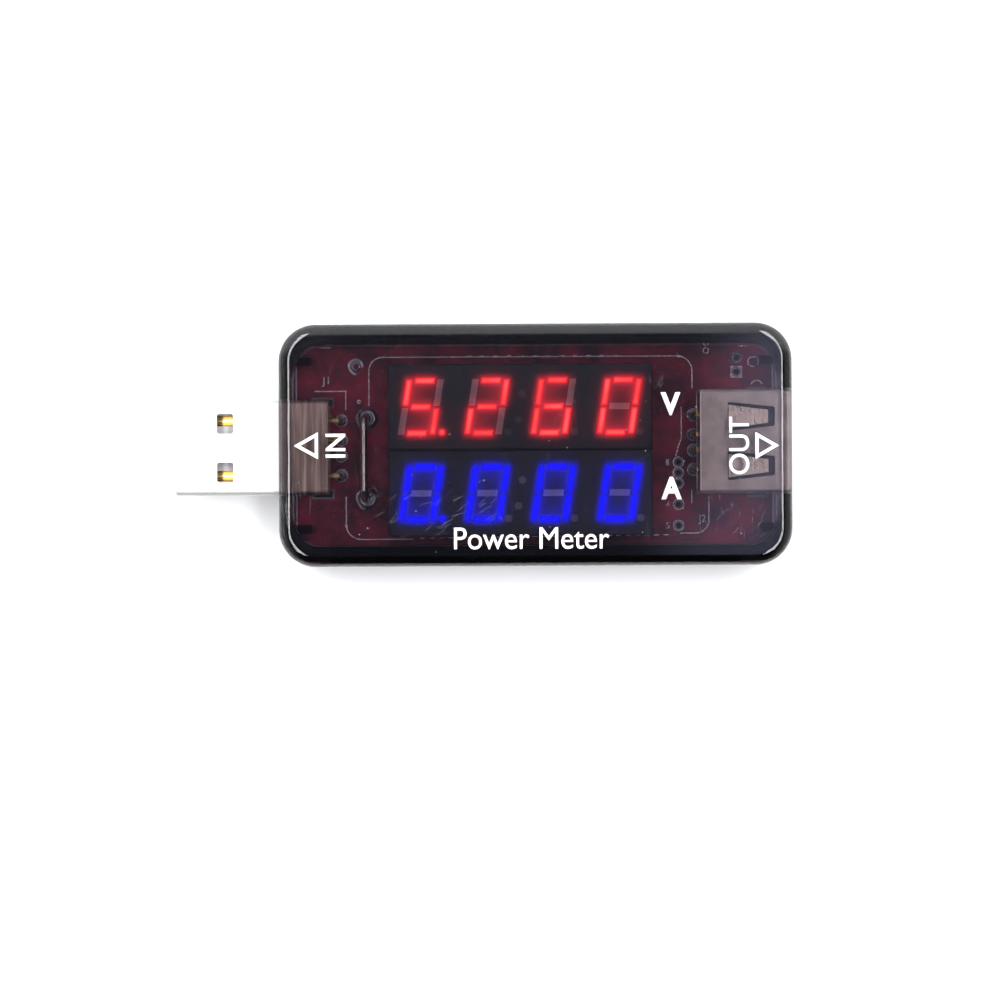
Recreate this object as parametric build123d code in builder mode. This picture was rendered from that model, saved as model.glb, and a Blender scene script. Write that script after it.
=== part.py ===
"""Pass-through power meter: a plug at -X, a socket at +X and two four-digit LED displays under a clear lid.

Millimetres. The origin is the centre of the footprint, on the surface that the meter lies on.
+X points out of the socket, +Z up through the lid and the displays.
"""

import os
from math import radians, tan

from build123d import *

os.makedirs("parts", exist_ok=True)

# ---------------------------------------------------------------- case sizes
body_length = 64.5
body_width = 30.5
body_height = 12.8
corner_radius = 4.7
edge_radius = 1.5
end_wall = 1.5
floor_wall = 1.5
roof_wall = 1.4
lid_side_wall = 2.65
parting_z = 6.4
seam_bevel = 0.12
seam_gap = 0.03
fit_gap = 0.1

# ---------------------------------------------------------------- plug sizes
plug_reach = 13.2
plug_length = 19.25
plug_width = 12.0
plug_height = 4.5
plug_corner = 0.6
plug_offset_y = -0.2
sheet = 0.3
window_length = 2.05
window_width = 2.5
window_from_tip = 6.25
window_offset = 3.08
pin_offsets = (-3.5, -1.0, 1.0, 3.5)

# ---------------------------------------------------------------- socket sizes
socket_depth = 11.55
socket_width = 13.1
socket_height = 5.72
socket_corner = 0.5
socket_offset_y = 0.33
socket_stand_off = 0.3

# ---------------------------------------------------------------- board sizes
board_length = 61.2
board_width = 25.6
board_thickness = 1.6
board_corner = 3.1
board_bottom = 3.2
pin_end_z = board_bottom - 0.6

# ---------------------------------------------------------------- display sizes
display_length = 33.3
display_width = 10.8
display_height = 6.1
display_x = 4.7
display_y = {"voltage": 4.8, "current": -6.05}
display_reading = {"voltage": "5.260", "current": "0.000"}
digit_pitch = 8.31
digit_height = 7.4
digit_slant = 9.0
bar_width = 0.82
bar_offset = 1.96
bar_half_length = 1.27
dot_radius = 0.48

# ---------------------------------------------------------------- places that follow from the sizes
overall_length = body_length + plug_reach
plug_tip = -overall_length / 2
body_left = plug_tip + plug_reach
body_right = overall_length / 2
body_mid = (body_left + body_right) / 2
inner_length = body_length - 2 * end_wall
inner_width = body_width - 2 * end_wall
lid_inner_width = body_width - 2 * lid_side_wall
inner_radius = corner_radius - end_wall
roof_z = body_height - roof_wall
board_top = board_bottom + board_thickness
plug_z = board_top + fit_gap + plug_height / 2
plug_rear = plug_tip + plug_length
plug_pin_x = plug_rear + 1.4
socket_mouth = body_right
socket_rear = socket_mouth - socket_depth
socket_bottom = board_top + socket_stand_off
socket_top = socket_bottom + socket_height
socket_z = (socket_bottom + socket_top) / 2
socket_pin_x = socket_rear - 0.4
display_top = board_top + display_height

SIDES = (-1, 1)


def save(piece, name):
    """Labels a finished piece and writes it as one STEP file."""
    piece.label = name
    export_step(piece, f"parts/{name}.step")


def block(x, y, z, mode=Mode.ADD):
    """A box given by its (low, high) span along each axis."""
    with Locations(((x[0] + x[1]) / 2, (y[0] + y[1]) / 2, (z[0] + z[1]) / 2)):
        Box(x[1] - x[0], y[1] - y[0], z[1] - z[0], mode=mode)


def about(centre, half):
    """The span of a given half width about a centre."""
    return centre - half, centre + half


def case_outline(length, width, radius):
    with Locations((body_mid, 0)):
        RectangleRounded(length, width, radius)


# ================================================================ case
SNAP_SPOTS = [body_mid + step for step in (-17, 17)]
SNAP_LENGTH, SNAP_HEIGHT, SNAP_PROUD, SNAP_Z = 8.0, 0.6, 0.22, 5.6
plug_opening_y = about(plug_offset_y, plug_width / 2 + fit_gap)
socket_opening_y = about(socket_offset_y, socket_width / 2 + fit_gap)

with BuildPart() as bottom_cover:
    with BuildSketch():
        case_outline(body_length, body_width, corner_radius)
    extrude(amount=parting_z)
    fillet(bottom_cover.faces().sort_by(Axis.Z)[0].edges(), edge_radius)
    chamfer(bottom_cover.faces().sort_by(Axis.Z)[-1].edges(), seam_bevel)
    with BuildSketch(Plane.XY.offset(floor_wall)):
        case_outline(inner_length, inner_width, inner_radius)
    extrude(amount=parting_z - floor_wall, mode=Mode.SUBTRACT)

    # Two rails along the long walls and four posts carry the board.
    RAIL_LENGTH, RAIL_WIDTH, POST_RADIUS = 50.0, 1.5, 1.2
    for side in SIDES:
        rail_y = side * (inner_width - RAIL_WIDTH) / 2
        block(about(body_mid, RAIL_LENGTH / 2), about(rail_y, RAIL_WIDTH / 2), (floor_wall, board_bottom))
    post_height = board_bottom - floor_wall
    with Locations(
        *[(x, y, floor_wall + post_height / 2) for x, y in ((-21.5, 9.6), (-21.5, -9.6), (22.6, 9.6), (31, -9.6))]
    ):
        Cylinder(POST_RADIUS, post_height)

    # The lid's skirt snaps into these grooves.
    for spot in SNAP_SPOTS:
        for side in SIDES:
            groove_y = side * inner_width / 2
            groove_z = about(SNAP_Z, SNAP_HEIGHT / 2 + fit_gap)
            block(about(spot, SNAP_LENGTH / 2 + fit_gap), about(groove_y, SNAP_PROUD + 0.06), groove_z, Mode.SUBTRACT)

    block(about(body_left, 2), plug_opening_y, (plug_z - plug_height / 2 - fit_gap, parting_z), Mode.SUBTRACT)
    block(about(body_right, 2), socket_opening_y, (socket_bottom - fit_gap, parting_z), Mode.SUBTRACT)
save(bottom_cover.part, "bottom_cover")

with BuildPart() as top_cover:
    with BuildSketch(Plane.XY.offset(parting_z + seam_gap)):
        case_outline(body_length, body_width, corner_radius)
    extrude(amount=body_height - parting_z - seam_gap)
    fillet(top_cover.faces().sort_by(Axis.Z)[-1].edges(), edge_radius)
    chamfer(top_cover.faces().sort_by(Axis.Z)[0].edges(), seam_bevel)

    # A skirt inside the long walls laps into the bottom cover and presses the board's edges down.
    skirt_bottom = board_top + 0.04
    SKIRT_LENGTH = 52.0
    with BuildSketch(Plane.XY.offset(skirt_bottom)):
        with Locations((body_mid, 0)):
            Rectangle(SKIRT_LENGTH, inner_width - 2 * 0.05)
    extrude(amount=parting_z - skirt_bottom + 0.5)
    for spot in SNAP_SPOTS:
        for side in SIDES:
            bead_y = side * (inner_width / 2 - 0.05)
            block(about(spot, SNAP_LENGTH / 2), about(bead_y, SNAP_PROUD), about(SNAP_Z, SNAP_HEIGHT / 2))
    with BuildSketch(Plane.XY.offset(skirt_bottom)):
        case_outline(inner_length, lid_inner_width, corner_radius - 0.8)
    extrude(amount=roof_z - skirt_bottom, mode=Mode.SUBTRACT)

    # Four ribs reach down from the roof beside the end walls and hold the board's corners.
    RIB_LENGTH, RIB_WIDTH, RIB_Y = 2.7, 1.1, 10.5
    for end in SIDES:
        wall_x = body_mid + end * inner_length / 2
        for side in SIDES:
            rib_y = about(side * RIB_Y, RIB_WIDTH / 2)
            upper = sorted((wall_x + end * 0.2, wall_x - end * RIB_LENGTH))
            lower = sorted((wall_x - end * fit_gap, wall_x - end * RIB_LENGTH))
            block(upper, rib_y, (parting_z + fit_gap, roof_z + 0.2))
            block(lower, rib_y, (skirt_bottom, parting_z + 0.3))

    block(about(body_left, 2), plug_opening_y, (skirt_bottom, plug_z + plug_height / 2 + fit_gap), Mode.SUBTRACT)
    block(about(body_right, 2), socket_opening_y, (skirt_bottom, socket_top + fit_gap), Mode.SUBTRACT)
save(top_cover.part, "top_cover")

# ================================================================ circuit board
SHUNT_X, SHUNT_TOP_X, SHUNT_ENDS = -14.8, -15.2, (3.6, -6.65)
SHUNT_RADIUS, SHUNT_TOP_Z, SHUNT_BEND = 0.5, 7.0, 1.3
DISPLAY_PIN_PITCH, DISPLAY_PIN_ROW, DISPLAY_PIN_COUNT = 2.54, 4.0, 6
PLUG_TAB_X, SOCKET_TAB_X = (plug_rear - 1.9, plug_rear), (34.3, 35.9)
TEST_PAD_X, TEST_PAD_Y = 25.0, (-2.2, -3.55, -4.9, -7.6, -10.3)
HEADER_X, HEADER_Y = 32.5, (11.2, 9.35)
tab_y = {"plug": plug_width / 2 - sheet / 2, "socket": socket_width / 2 - sheet / 2}


def display_pins(name):
    """The (x, y) of a display's pins: two rows along its long edges."""
    first = display_x - DISPLAY_PIN_PITCH * (DISPLAY_PIN_COUNT - 1) / 2
    return [
        (first + DISPLAY_PIN_PITCH * i, display_y[name] + side * DISPLAY_PIN_ROW)
        for side in SIDES
        for i in range(DISPLAY_PIN_COUNT)
    ]


plug_pins = [(plug_pin_x, plug_offset_y + y) for y in pin_offsets]
socket_pins_xy = [(socket_pin_x, socket_offset_y + y) for y in pin_offsets]
shunt_pins = [(SHUNT_X, y) for y in SHUNT_ENDS]

with BuildPart() as circuit_board:
    with BuildSketch(Plane.XY.offset(board_bottom)):
        case_outline(board_length, board_width, board_corner)
    extrude(amount=board_thickness)
    round_holes = (
        (0.42, plug_pins + socket_pins_xy),
        (0.38, display_pins("voltage") + display_pins("current")),
        (0.75, shunt_pins),
        (0.38, [(TEST_PAD_X, y) for y in TEST_PAD_Y] + [(HEADER_X, y) for y in HEADER_Y]),
    )
    for radius, spots in round_holes:
        with Locations(*[(x, y, board_top) for x, y in spots]):
            Hole(radius, depth=board_thickness)
    tab_slots = (
        (PLUG_TAB_X, plug_offset_y, tab_y["plug"]),
        (SOCKET_TAB_X, socket_offset_y, tab_y["socket"]),
    )
    for tab_x, centre_y, out_y in tab_slots:
        for side in SIDES:
            slot_x = (tab_x[0] - 0.25, tab_x[1] + 0.25)
            block(slot_x, about(centre_y + side * out_y, 0.4), (board_bottom, board_top), Mode.SUBTRACT)
save(circuit_board.part, "circuit_board")

# ================================================================ plug
plug_inner_height = plug_height - 2 * sheet
tongue_top = plug_z
SEAM = 0.08

with BuildPart() as plug_shell:
    with BuildSketch(Plane.YZ.offset(plug_tip)):
        with Locations((plug_offset_y, plug_z)):
            RectangleRounded(plug_width, plug_height, plug_corner)
            RectangleRounded(plug_width - 2 * sheet, plug_inner_height, plug_corner - sheet, mode=Mode.SUBTRACT)
    extrude(amount=plug_length)
    fillet(plug_shell.faces().sort_by(Axis.X)[0].outer_wire().edges(), 0.14)
    with BuildSketch(Plane.XY.offset(plug_z - plug_height)):
        window_x = plug_tip + window_from_tip
        with Locations(*[(window_x, plug_offset_y + side * window_offset) for side in SIDES]):
            RectangleRounded(window_length, window_width, 0.3)
    extrude(amount=2 * plug_height, mode=Mode.SUBTRACT)
    seam_z = (plug_z - plug_height, plug_z - plug_height / 2 + 2 * sheet)
    block((plug_tip - 1, plug_rear + 1), about(plug_offset_y, SEAM / 2), seam_z, Mode.SUBTRACT)
    for side in SIDES:
        tab_centre = plug_offset_y + side * tab_y["plug"]
        block(PLUG_TAB_X, about(tab_centre, sheet / 2), (pin_end_z, plug_z))
save(plug_shell.part, "plug_shell")

CONTACT_WIDTH, CONTACT_SINK, CONTACT_PROUD = 1.3, 0.2, 0.04
CONTACT_FRONT = plug_tip + 0.95
HOLLOW_DEPTH = 11.6
TAIL_WIDTH, TAIL_THICKNESS = 0.6, 0.26
contact_z = (tongue_top - CONTACT_SINK, tongue_top + CONTACT_PROUD)
contact_mid_z = sum(contact_z) / 2

with BuildPart() as plug_insulator:
    with BuildSketch(Plane.YZ.offset(plug_tip + 0.25)):
        with Locations((plug_offset_y, plug_z)):
            clear = 2 * (sheet + 0.03)
            RectangleRounded(plug_width - clear, plug_height - clear, plug_corner - sheet)
    extrude(amount=plug_length - 0.6)
    hollow_x = (plug_tip - 1, plug_tip + HOLLOW_DEPTH)
    block(hollow_x, about(plug_offset_y, plug_width), (tongue_top, plug_z + plug_height), Mode.SUBTRACT)
    for y in pin_offsets:
        channel_y = about(plug_offset_y + y, CONTACT_WIDTH / 2)
        block((CONTACT_FRONT, plug_rear + 1), channel_y, contact_z, Mode.SUBTRACT)
save(plug_insulator.part, "plug_insulator")

with BuildPart() as plug_contacts:
    for y in pin_offsets:
        middle = plug_offset_y + y
        block((CONTACT_FRONT, plug_rear - 0.35), about(middle, CONTACT_WIDTH / 2), contact_z)
        with BuildSketch(Plane.XZ.offset(-middle)):
            with BuildLine():
                FilletPolyline(
                    (plug_rear - 0.5, contact_mid_z),
                    (plug_pin_x, contact_mid_z),
                    (plug_pin_x, pin_end_z),
                    radius=0.4,
                )
            trace(line_width=TAIL_THICKNESS)
        extrude(amount=TAIL_WIDTH / 2, both=True)
save(plug_contacts.part, "plug_contacts")

# ================================================================ socket
SPRING_ROOT_X, SPRING_TIP_X, SLOT_END_X = 30.95, 35.9, 36.7
SPRING_OFFSET = 3.1
SPRING_ROOT_HALF, SPRING_TIP_HALF = 1.45, 0.78
SLOT_ROOT_HALF, SLOT_TIP_HALF = 1.84, 1.2
HINGE_GAP = 0.03
spring_centres = [socket_offset_y + side * SPRING_OFFSET for side in SIDES]

with BuildPart() as socket_shell:
    with BuildSketch(Plane.YZ.offset(socket_rear)):
        with Locations((socket_offset_y, socket_z)):
            RectangleRounded(socket_width, socket_height, socket_corner)
            RectangleRounded(
                socket_width - 2 * sheet, socket_height - 2 * sheet, socket_corner - sheet, mode=Mode.SUBTRACT
            )
    extrude(amount=socket_depth)
    # Each U-shaped slot frees one retention spring, above and below.
    with BuildSketch(Plane.XY.offset(socket_bottom - 1)) as slots:
        slot_start = SPRING_ROOT_X - sheet / 2 - HINGE_GAP
        for centre in spring_centres:
            with BuildLine():
                Polyline(
                    (slot_start, centre - SLOT_ROOT_HALF),
                    (SLOT_END_X, centre - SLOT_TIP_HALF),
                    (SLOT_END_X, centre + SLOT_TIP_HALF),
                    (slot_start, centre + SLOT_ROOT_HALF),
                    close=True,
                )
            make_face()
        fillet(slots.vertices(), 0.24)
    extrude(amount=socket_height + 2, mode=Mode.SUBTRACT)
    for side in SIDES:
        tab_centre = socket_offset_y + side * tab_y["socket"]
        block(SOCKET_TAB_X, about(tab_centre, sheet / 2), (pin_end_z, socket_z))
save(socket_shell.part, "socket_shell")

BASE_DEPTH = 2.3
TONGUE_TIP_X, TONGUE_WIDTH, TONGUE_THICKNESS = socket_mouth - 1.2, 11.0, 1.84
TONGUE_BELOW_ROOF = 0.66
socket_tongue_top = socket_top - sheet - TONGUE_BELOW_ROOF
socket_tongue_bottom = socket_tongue_top - TONGUE_THICKNESS
base_front = socket_rear + BASE_DEPTH
LEAF_WIDTH, LEAF_THICKNESS, GROOVE_HEIGHT = 1.0, 0.2, 0.9
leaf_hinge = (base_front + 0.35, socket_tongue_bottom + 0.22)
KNUCKLE_RADIUS = 0.16

with BuildPart() as socket_insulator:
    with BuildSketch(Plane.YZ.offset(socket_rear + 0.1)):
        with Locations((socket_offset_y, socket_z)):
            clear = 2 * (sheet + 0.03)
            RectangleRounded(socket_width - clear, socket_height - clear, 0.2)
    extrude(amount=BASE_DEPTH - 0.1)
    tongue_z = (socket_tongue_bottom, socket_tongue_top)
    tongue_y = about(socket_offset_y, TONGUE_WIDTH / 2)
    block((base_front - 0.5, TONGUE_TIP_X), tongue_y, tongue_z)
    chamfer(socket_insulator.faces().sort_by(Axis.X)[-1].edges(), 0.25)
    for y in pin_offsets:
        groove_y = about(socket_offset_y + y, LEAF_WIDTH / 2 + 0.12)
        groove_z = (socket_tongue_bottom - 0.02, socket_tongue_bottom + GROOVE_HEIGHT)
        block((base_front, TONGUE_TIP_X - 0.55), groove_y, groove_z, Mode.SUBTRACT)
        tail_y = about(socket_offset_y + y, TAIL_WIDTH / 2)
        tail_z = about(leaf_hinge[1], TAIL_THICKNESS / 2)
        block((socket_rear - 1, base_front + 0.1), tail_y, tail_z, Mode.SUBTRACT)
save(socket_insulator.part, "socket_insulator")

with BuildPart() as socket_pins:
    for y in pin_offsets:
        with BuildSketch(Plane.XZ.offset(-(socket_offset_y + y))):
            with BuildLine():
                FilletPolyline(
                    (leaf_hinge[0] - KNUCKLE_RADIUS - HINGE_GAP, leaf_hinge[1]),
                    (socket_pin_x, leaf_hinge[1]),
                    (socket_pin_x, pin_end_z),
                    radius=0.3,
                )
            trace(line_width=TAIL_THICKNESS)
        extrude(amount=TAIL_WIDTH / 2, both=True)
save(socket_pins.part, "socket_pins")

# Each contact leaf bows down from the tongue, and a mating plug presses it up into its groove.
LEAF_BUMP = (leaf_hinge[0] + 4.9, socket_tongue_bottom - 0.3)
LEAF_TIP = (leaf_hinge[0] + 6.6, socket_tongue_bottom + 0.1)
for number, y in enumerate(pin_offsets, start=1):
    with BuildPart() as leaf:
        with BuildSketch(Plane.XZ.offset(-(socket_offset_y + y))):
            with BuildLine():
                FilletPolyline(leaf_hinge, LEAF_BUMP, LEAF_TIP, radius=1.2)
            trace(line_width=LEAF_THICKNESS)
            with Locations(leaf_hinge):
                Circle(KNUCKLE_RADIUS)
        extrude(amount=LEAF_WIDTH / 2, both=True)
    save(leaf.part, f"socket_contact_{number}")

# Each retention spring bows into the socket, and a mating plug presses it back out to the shell's sheet.
SPRING_BUMP_X, SPRING_BUMP_IN, SPRING_TIP_IN = 34.1, 0.56, 0.27
spring_sheets = {"upper": (socket_top - sheet / 2, -1), "lower": (socket_bottom + sheet / 2, 1)}
for level, (sheet_z, inward) in spring_sheets.items():
    for number, centre in enumerate(spring_centres, start=1):
        with BuildPart() as spring:
            with BuildSketch(Plane.XZ.offset(-centre)):
                with BuildLine():
                    FilletPolyline(
                        (SPRING_ROOT_X, sheet_z),
                        (SPRING_BUMP_X, sheet_z + inward * SPRING_BUMP_IN),
                        (SPRING_TIP_X, sheet_z + inward * SPRING_TIP_IN),
                        radius=1.0,
                    )
                trace(line_width=sheet)
                with Locations((SPRING_ROOT_X, sheet_z)):
                    Circle(sheet / 2)
            extrude(amount=SPRING_ROOT_HALF, both=True)
            with BuildSketch(Plane.XY.offset(sheet_z - 2)):
                with BuildLine():
                    Polyline(
                        (SPRING_ROOT_X - 1, centre - SPRING_ROOT_HALF),
                        (SPRING_ROOT_X, centre - SPRING_ROOT_HALF),
                        (SPRING_TIP_X + 0.2, centre - SPRING_TIP_HALF),
                        (SPRING_TIP_X + 0.2, centre + SPRING_TIP_HALF),
                        (SPRING_ROOT_X, centre + SPRING_ROOT_HALF),
                        (SPRING_ROOT_X - 1, centre + SPRING_ROOT_HALF),
                        close=True,
                    )
                make_face()
            extrude(amount=4, mode=Mode.INTERSECT)
        save(spring.part, f"socket_{level}_spring_{number}")

# ================================================================ displays
SEGMENTS = {
    "0": "abcdef",
    "2": "abged",
    "5": "afgcd",
    "6": "afgedc",
}
half_height = digit_height / 2
BAR_START, BAR_STOP = 0.13, half_height - 0.22
upright = (BAR_START, BAR_STOP)
hanging = (-BAR_STOP, -BAR_START)
level_bar = about(0, bar_half_length)
left_bar = about(-bar_offset, bar_width / 2)
right_bar = about(bar_offset, bar_width / 2)
SEGMENT_SPANS = {
    "a": (level_bar, (half_height - bar_width, half_height)),
    "b": (right_bar, upright),
    "c": (right_bar, hanging),
    "d": (level_bar, (-half_height, bar_width - half_height)),
    "e": (left_bar, hanging),
    "f": (left_bar, upright),
    "g": (level_bar, about(0, bar_width / 2)),
}
DOT_FROM_DIGIT = (2.62, -3.2)
COLON_Y = 1.62
LIGHT_PIPE_DEPTH = 1.0
LED_BOARD_THICKNESS, LED_BOARD_INSET = 1.0, 0.7
DIE_SIZE, DIE_HEIGHT = 0.34, 0.2
led_board_top = board_top + 0.15 + LED_BOARD_THICKNESS


def digit_centres(name):
    return [(display_x + digit_pitch * (i - 1.5), display_y[name]) for i in range(4)]


def slanted(centre, x, y):
    """A point of a digit, leaning with the digit's slant."""
    return centre[0] + x + y * tan(radians(digit_slant)), centre[1] + y


def bar_outline(centre, letter):
    (x0, x1), (y0, y1) = SEGMENT_SPANS[letter]
    Polygon(*[slanted(centre, x, y) for x, y in ((x0, y0), (x1, y0), (x1, y1), (x0, y1))], align=None)


def lit_letters(name):
    """For each digit, the letters of its glowing segments, with p for a glowing point."""
    letters = []
    for character in display_reading[name]:
        if character == ".":
            letters[-1] += "p"
        else:
            letters.append(SEGMENTS[character])
    return letters


def display_windows(name, wanted):
    """Sketches the windows that are lit, dark or both: seven bars and a point a digit, and a colon."""
    for centre, lit in zip(digit_centres(name), lit_letters(name)):
        for letter in SEGMENT_SPANS:
            if (letter in lit) in wanted:
                bar_outline(centre, letter)
        if ("p" in lit) in wanted:
            with Locations((centre[0] + DOT_FROM_DIGIT[0], centre[1] + DOT_FROM_DIGIT[1])):
                Circle(dot_radius)
    if False in wanted:
        centre = (display_x, display_y[name])
        with Locations(*[slanted(centre, 0, side * COLON_Y) for side in SIDES]):
            Circle(dot_radius)


for name in display_y:
    with BuildPart() as housing:
        with BuildSketch(Plane.XY.offset(board_top)):
            with Locations((display_x, display_y[name])):
                Rectangle(display_length - 0.1, display_width - 0.06)
        extrude(amount=display_height)
        chamfer(housing.faces().sort_by(Axis.Z)[-1].edges(), 0.15)
        with BuildSketch(Plane.XY.offset(board_top)):
            with Locations((display_x, display_y[name])):
                Rectangle(display_length - 2 * LED_BOARD_INSET, display_width - 2 * LED_BOARD_INSET)
        extrude(amount=led_board_top - board_top, mode=Mode.SUBTRACT)
        with BuildSketch(Plane.XY.offset(led_board_top)):
            display_windows(name, (True, False))
        extrude(amount=display_height, mode=Mode.SUBTRACT)
    save(housing.part, f"{name}_display_housing")

    for state, wanted in (("lit", (True,)), ("dark", (False,))):
        with BuildPart() as bars:
            with BuildSketch(Plane.XY.offset(display_top - LIGHT_PIPE_DEPTH)):
                display_windows(name, wanted)
            extrude(amount=LIGHT_PIPE_DEPTH)
        save(bars.part, f"{name}_{state}_segments")

    with BuildPart() as led_board:
        with BuildSketch(Plane.XY.offset(led_board_top - LED_BOARD_THICKNESS)):
            with Locations((display_x, display_y[name])):
                clear = 2 * (LED_BOARD_INSET + 0.05)
                Rectangle(display_length - clear, display_width - clear)
        extrude(amount=LED_BOARD_THICKNESS)
        with Locations(*[(x, y, led_board_top) for x, y in display_pins(name)]):
            Hole(0.27, depth=LED_BOARD_THICKNESS)
    save(led_board.part, f"{name}_led_board")

    with BuildPart() as dies:
        for centre in digit_centres(name):
            for x_span, y_span in SEGMENT_SPANS.values():
                spot = slanted(centre, sum(x_span) / 2, sum(y_span) / 2)
                with Locations((*spot, led_board_top + DIE_HEIGHT / 2)):
                    Box(DIE_SIZE, DIE_SIZE, DIE_HEIGHT)
    save(dies.part, f"{name}_led_dies")

    with BuildPart() as pins:
        pin_top = led_board_top
        with Locations(*[(x, y, (pin_top + pin_end_z) / 2) for x, y in display_pins(name)]):
            Cylinder(0.25, pin_top - pin_end_z)
    save(pins.part, f"{name}_display_pins")

# ================================================================ shunt
with BuildPart() as shunt_wire:
    with BuildLine() as shunt_path:
        FilletPolyline(
            (SHUNT_X, SHUNT_ENDS[0], pin_end_z),
            (SHUNT_TOP_X, SHUNT_ENDS[0], SHUNT_TOP_Z),
            (SHUNT_TOP_X, SHUNT_ENDS[1], SHUNT_TOP_Z),
            (SHUNT_X, SHUNT_ENDS[1], pin_end_z),
            radius=SHUNT_BEND,
        )
    with BuildSketch(Plane(origin=shunt_path.line @ 0, z_dir=shunt_path.line % 0)):
        Circle(SHUNT_RADIUS)
    sweep()
save(shunt_wire.part, "shunt_wire")

# ================================================================ solder
DOME_HEIGHT = 0.5


def solder_cones(spots, foot, tip, hole, up=False):
    """Cones of solder round pins, on top of the board (up) or under it, each with room for its pin."""
    middle = board_top + DOME_HEIGHT / 2 if up else board_bottom - DOME_HEIGHT / 2
    with Locations(*[(x, y, middle) for x, y in spots]):
        Cone(*((foot, tip) if up else (tip, foot)), DOME_HEIGHT)
        Cylinder(hole, 2 * DOME_HEIGHT, mode=Mode.SUBTRACT)


SOLDER_GROUPS = (
    ("plug_solder_joints", plug_pins, 0.85, 0.5, 0.34),
    ("socket_solder_joints", socket_pins_xy, 0.85, 0.5, 0.34),
    ("display_solder_joints", display_pins("voltage") + display_pins("current"), 0.75, 0.42, 0.26),
)
for name, spots, foot, tip, hole in SOLDER_GROUPS:
    with BuildPart() as joints:
        solder_cones(spots, foot, tip, hole)
    save(joints.part, name)

with BuildPart() as shunt_solder_joints:
    solder_cones(shunt_pins, 1.35, 0.8, 0.66)
    solder_cones(shunt_pins, 1.35, 0.95, 0.8, up=True)
save(shunt_solder_joints.part, "shunt_solder_joints")

# ================================================================ chips under the board
LEAD_WIDTH, LEAD_THICKNESS = 0.3, 0.15
chip_top = board_bottom - 0.08


def chip_body(x, y, length, width, height):
    """A moulded package under the board, with its edges eased."""
    with BuildPart() as body:
        block(about(x, length / 2), about(y, width / 2), (chip_top - height, chip_top))
        chamfer(body.faces().sort_by(Axis.Z)[0].edges(), 0.12)
    return body.part


def gull_leads(x, y, body_width, span, count, pitch, waist_z):
    """Two rows of bent leads beside a package, from its waist out and up to the board."""
    foot_z = board_bottom - LEAD_THICKNESS / 2
    with BuildPart() as leads:
        for i in range(count):
            for side in SIDES:
                inner = y + side * body_width / 2
                outer = y + side * span / 2
                with BuildSketch(Plane.YZ.offset(x + pitch * (i - (count - 1) / 2))):
                    with BuildLine():
                        FilletPolyline(
                            (inner, waist_z),
                            (inner + side * 0.3, waist_z),
                            (inner + side * 0.45, foot_z),
                            (outer, foot_z),
                            radius=0.08,
                        )
                    trace(line_width=LEAD_THICKNESS)
                extrude(amount=LEAD_WIDTH / 2, both=True)
    return leads.part


CHIPS = (
    # name, x, y, body length, body width, body height, lead span, leads a side, pitch
    ("microcontroller", 17.4, 0.4, 6.5, 4.4, 1.0, 6.4, 10, 0.65),
    ("current_amplifier", -6.6, 2.6, 4.9, 3.9, 1.35, 6.0, 4, 1.27),
    ("voltage_regulator", -6.6, -7.2, 2.9, 1.6, 1.1, 2.9, 2, 1.9),
)
for name, x, y, length, width, height, span, count, pitch in CHIPS:
    save(chip_body(x, y, length, width, height), name)
    save(gull_leads(x, y, width, span, count, pitch, chip_top - height / 2), f"{name}_leads")

TERMINAL_SHARE = 0.2


def two_ended_parts(spots, length, width, height, ends):
    """Chip parts along X, at board level: the caps at both ends, or the bodies between them."""
    cap = length * TERMINAL_SHARE
    middle = (board_bottom - height, board_bottom)
    for x, y in spots:
        if ends:
            for side in SIDES:
                span = sorted((x + side * length / 2, x + side * (length / 2 - cap)))
                block(span, about(y, width / 2), middle)
        else:
            block(about(x, length / 2 - cap), about(y, width / 2), middle)


CHIP_FAMILIES = (
    ("capacitor", [(-6.6, 8.2), (-10.4, -2.2), (-9.9, -10.2), (14.2, 7.2), (20.6, 7.2)], 2.0, 1.25, 0.95),
    (
        "resistor",
        [(14.2 + 2.6 * i, y) for y in (-5.8, -7.6, -9.4) for i in range(3)] + [(-2.9, -6.2), (-2.9, -8.1)],
        1.6,
        0.8,
        0.45,
    ),
    ("diode", [(-11.2, 8.4)], 2.7, 1.6, 1.05),
)
for family, spots, length, width, height in CHIP_FAMILIES:
    with BuildPart() as bodies:
        two_ended_parts(spots, length, width, height, False)
    save(bodies.part, f"chip_{family}s" if len(spots) > 1 else f"protection_{family}")
    with BuildPart() as caps:
        two_ended_parts(spots, length, width, height, True)
    save(caps.part, f"chip_{family}_terminals" if len(spots) > 1 else f"protection_{family}_terminals")
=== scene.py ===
"""Looks of the power meter: materials, glow, printing, board details, light and camera.

Everything is in metres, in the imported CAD's frame. MM turns millimetres into metres.
"""

import math
import random

import bmesh
import bpy
import numpy as np
from mathutils import Matrix, Vector


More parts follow.
